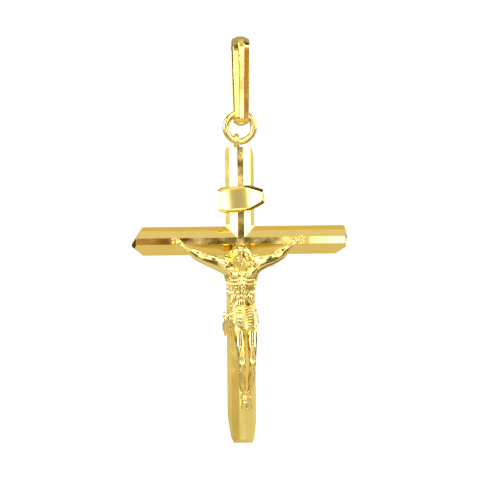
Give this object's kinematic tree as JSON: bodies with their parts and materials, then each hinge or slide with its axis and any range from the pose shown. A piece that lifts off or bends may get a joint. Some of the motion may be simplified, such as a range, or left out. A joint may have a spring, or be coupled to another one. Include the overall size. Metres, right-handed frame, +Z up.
{
  "type": "gold crucifix pendant with a bail",
  "caption": "Gold crucifix pendant: bevelled cross with a bare scroll and a cast corpus, hanging from a jump ring and a tall teardrop bail.",
  "frame": {"origin": "inner top of the bail, where the chain sits", "axes": "+Z up along the hanging pendant, -Y out of the front face with the corpus, +X to the viewer's right"},
  "size_m": [0.0192, 0.0034, 0.036],
  "materials": {
    "polished_gold": "polished 14 carat yellow gold",
    "cross_gold": "polished 14 carat yellow gold with bright cut bevels",
    "cast_gold": "polished cast 14 carat yellow gold, satin in its recesses"
  },
  "bodies": {
    "bail": {"bail": "polished_gold"},
    "jump_ring": {"jump_ring": "polished_gold"},
    "cross": {"cross": "cross_gold", "title_scroll": "cast_gold", "corpus": "cast_gold"}
  },
  "joints": [
    {"name": "ring_swing", "type": "hinge", "parent": "bail", "child": "jump_ring", "pos_m": [0, 0, -0.00656], "axis": [1, 0, 0], "range_deg": [-60, 60]},
    {"name": "cross_swing", "type": "hinge", "parent": "jump_ring", "child": "cross", "pos_m": [0, 0, -0.00879], "axis": [1, 0, 0], "range_deg": [-75, 75]}
  ]
}
